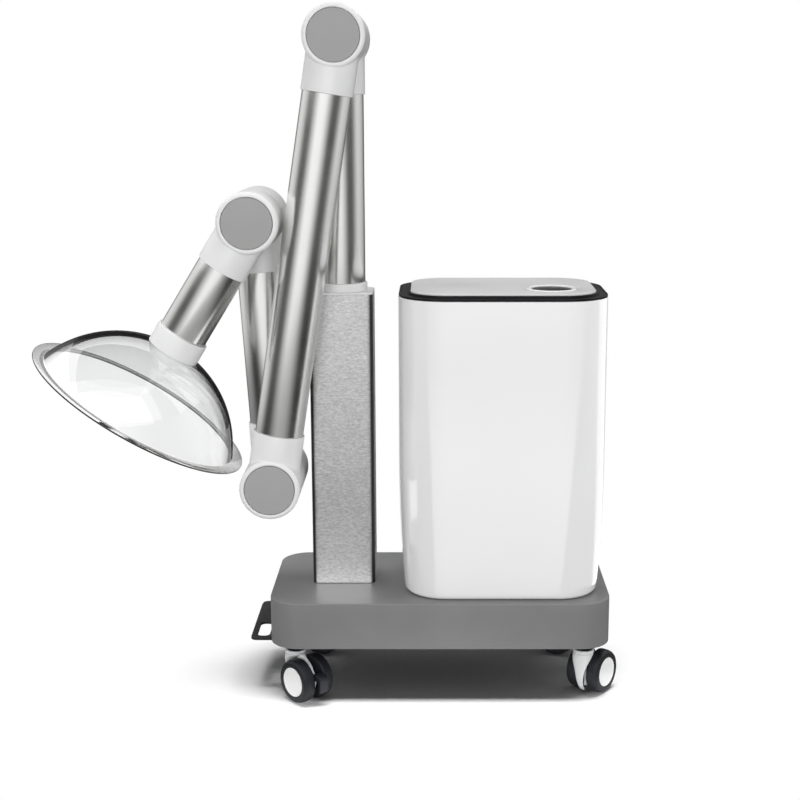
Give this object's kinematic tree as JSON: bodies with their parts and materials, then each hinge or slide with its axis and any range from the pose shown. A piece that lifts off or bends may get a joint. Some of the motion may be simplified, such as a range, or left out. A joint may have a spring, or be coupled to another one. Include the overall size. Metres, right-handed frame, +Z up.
{
  "type": "fume extraction arm",
  "caption": "Mobile fume extraction trolley: filter tower and steel column on a castered base, with a folding tube arm that swivels on a mast and ends in a clear domed hood.",
  "frame": {"origin": "on the floor, under the middle of the folded object's outline seen from above", "axes": "+Z up, -Y to the front that the tower and the joint caps face, -X to the side of the folded arm and hood"},
  "size_m": [0.9724, 0.4232, 1.1495],
  "materials": {
    "deck_grey": "satin powder coat",
    "plate_black": "satin black powder coat",
    "column_steel": "brushed across its width",
    "tube_metal": "fine turned and anodised",
    "joint_white": "satin moulded",
    "cap_grey": "matt moulded",
    "hood_clear": "clear polished acrylic",
    "tower_white": "high gloss",
    "trim_black": "satin",
    "panel_grey": "satin",
    "display_white": "gloss",
    "lens_dark": "smoked gloss",
    "filter_media": "pleated paper",
    "carbon_media": "granular",
    "inner_metal": "mill finish",
    "motor_metal": "dark paint",
    "caster_grey": "satin moulded",
    "tyre_black": "soft tread with pale hub cap",
    "pedal_black": "satin moulded"
  },
  "bodies": {
    "trolley": {"base_deck": "deck_grey", "floor_plate": "plate_black", "base_duct": "inner_metal", "side_handle": "plate_black", "power_inlet": "trim_black", "column": "column_steel", "column_cap": "column_steel", "tower_shell": "tower_white", "top_trim": "trim_black", "top_panel": "panel_grey", "display_ring": "display_white", "display_lens": "lens_dark", "particle_filter": "filter_media", "carbon_filter": "carbon_media", "blower_deck": "inner_metal", "blower_housing": "inner_metal", "blower_motor": "motor_metal", "exhaust_grille": "trim_black"},
    "blower_wheel": {"impeller": "trim_black"},
    "switch": {"mains_switch": "pedal_black"},
    "mast": {"swivel_collar": "joint_white", "mast_tube": "tube_metal", "mast_elbow": "joint_white", "mast_elbow_cap": "cap_grey", "shoulder_ring": "trim_black"},
    "upper_arm": {"shoulder_elbow": "joint_white", "shoulder_cap": "cap_grey", "upper_tube": "tube_metal", "upper_arm_elbow": "joint_white", "upper_arm_elbow_cap": "cap_grey", "elbow_ring": "trim_black"},
    "forearm": {"forearm_lower_elbow": "joint_white", "forearm_lower_cap": "cap_grey", "forearm_tube": "tube_metal", "forearm_upper_elbow": "joint_white", "forearm_upper_cap": "cap_grey", "wrist_ring": "trim_black"},
    "hood_arm": {"wrist_elbow": "joint_white", "wrist_cap": "cap_grey", "hood_tube": "tube_metal", "hood_collar": "joint_white", "hood": "hood_clear"},
    "front_left_caster": {"front_left_fork": "caster_grey"},
    "front_left_wheel_a": {"front_left_wheel_a": "tyre_black"},
    "front_left_wheel_b": {"front_left_wheel_b": "tyre_black"},
    "front_left_pedal": {"front_left_pedal": "pedal_black"},
    "front_right_caster": {"front_right_fork": "caster_grey"},
    "front_right_wheel_a": {"front_right_wheel_a": "tyre_black"},
    "front_right_wheel_b": {"front_right_wheel_b": "tyre_black"},
    "front_right_pedal": {"front_right_pedal": "pedal_black"},
    "rear_left_caster": {"rear_left_fork": "caster_grey"},
    "rear_left_wheel_a": {"rear_left_wheel_a": "tyre_black"},
    "rear_left_wheel_b": {"rear_left_wheel_b": "tyre_black"},
    "rear_right_caster": {"rear_right_fork": "caster_grey"},
    "rear_right_wheel_a": {"rear_right_wheel_a": "tyre_black"},
    "rear_right_wheel_b": {"rear_right_wheel_b": "tyre_black"}
  },
  "joints": [
    {"name": "mast_swivel", "type": "hinge", "parent": "trolley", "child": "mast", "pos_m": [0.01258, 0.07285, 0.684], "axis": [0, 0, 1], "range_deg": [-100, 60]},
    {"name": "shoulder", "type": "hinge", "parent": "mast", "child": "upper_arm", "pos_m": [0.01258, 0.07285, 1.0995], "axis": [0, 1, 0], "range_deg": [0, 165]},
    {"name": "elbow", "type": "hinge", "parent": "upper_arm", "child": "forearm", "pos_m": [-0.10318, 0.07285, 0.36861], "axis": [0, -1, 0], "range_deg": [0, 105]},
    {"name": "wrist", "type": "hinge", "parent": "forearm", "child": "hood_arm", "pos_m": [-0.12966, 0.07285, 0.80781], "axis": [0, 1, 0], "range_deg": [0, 110]},
    {"name": "blower_spin", "type": "hinge", "parent": "trolley", "child": "blower_wheel", "pos_m": [0.28358, 0.06185, 0.51], "axis": [0, 0, 1], "continuous": true},
    {"name": "switch_rock", "type": "hinge", "parent": "trolley", "child": "switch", "pos_m": [0.35308, 0.20335, 0.137], "axis": [-1, 0, 0], "range_deg": [0, 16]},
    {"name": "front_left_swivel", "type": "hinge", "parent": "trolley", "child": "front_left_caster", "pos_m": [-0.06692, -0.03365, 0.09], "axis": [0, 0, 1], "continuous": true},
    {"name": "front_left_roll_a", "type": "hinge", "parent": "front_left_caster", "child": "front_left_wheel_a", "pos_m": [-0.04782, -0.05413, 0.0375], "axis": [-0.7314, -0.682, 0], "continuous": true},
    {"name": "front_left_roll_b", "type": "hinge", "parent": "front_left_caster", "child": "front_left_wheel_b", "pos_m": [-0.04782, -0.05413, 0.0375], "axis": [-0.7314, -0.682, 0], "continuous": true},
    {"name": "front_left_brake", "type": "hinge", "parent": "front_left_caster", "child": "front_left_pedal", "pos_m": [-0.02757, -0.07585, 0.048], "axis": [0.7314, 0.682, 0], "range_deg": [0, 15]},
    {"name": "front_right_swivel", "type": "hinge", "parent": "trolley", "child": "front_right_caster", "pos_m": [0.42508, -0.03365, 0.09], "axis": [0, 0, 1], "continuous": true},
    {"name": "front_right_roll_a", "type": "hinge", "parent": "front_right_caster", "child": "front_right_wheel_a", "pos_m": [0.44154, -0.011, 0.0375], "axis": [0.809, -0.5878, 0], "continuous": true},
    {"name": "front_right_roll_b", "type": "hinge", "parent": "front_right_caster", "child": "front_right_wheel_b", "pos_m": [0.44154, -0.011, 0.0375], "axis": [0.809, -0.5878, 0], "continuous": true},
    {"name": "front_right_brake", "type": "hinge", "parent": "front_right_caster", "child": "front_right_pedal", "pos_m": [0.459, 0.01303, 0.048], "axis": [-0.809, 0.5878, 0], "range_deg": [0, 15]},
    {"name": "rear_left_swivel", "type": "hinge", "parent": "trolley", "child": "rear_left_caster", "pos_m": [-0.06692, 0.16735, 0.09], "axis": [0, 0, 1], "continuous": true},
    {"name": "rear_left_roll_a", "type": "hinge", "parent": "rear_left_caster", "child": "rear_left_wheel_a", "pos_m": [-0.03934, 0.17221, 0.0375], "axis": [0.1736, -0.9848, 0], "continuous": true},
    {"name": "rear_left_roll_b", "type": "hinge", "parent": "rear_left_caster", "child": "rear_left_wheel_b", "pos_m": [-0.03934, 0.17221, 0.0375], "axis": [0.1736, -0.9848, 0], "continuous": true},
    {"name": "rear_right_swivel", "type": "hinge", "parent": "trolley", "child": "rear_right_caster", "pos_m": [0.42508, 0.16735, 0.09], "axis": [0, 0, 1], "continuous": true},
    {"name": "rear_right_roll_a", "type": "hinge", "parent": "rear_right_caster", "child": "rear_right_wheel_a", "pos_m": [0.39751, 0.17221, 0.0375], "axis": [0.1736, 0.9848, 0], "continuous": true},
    {"name": "rear_right_roll_b", "type": "hinge", "parent": "rear_right_caster", "child": "rear_right_wheel_b", "pos_m": [0.39751, 0.17221, 0.0375], "axis": [0.1736, 0.9848, 0], "continuous": true}
  ]
}
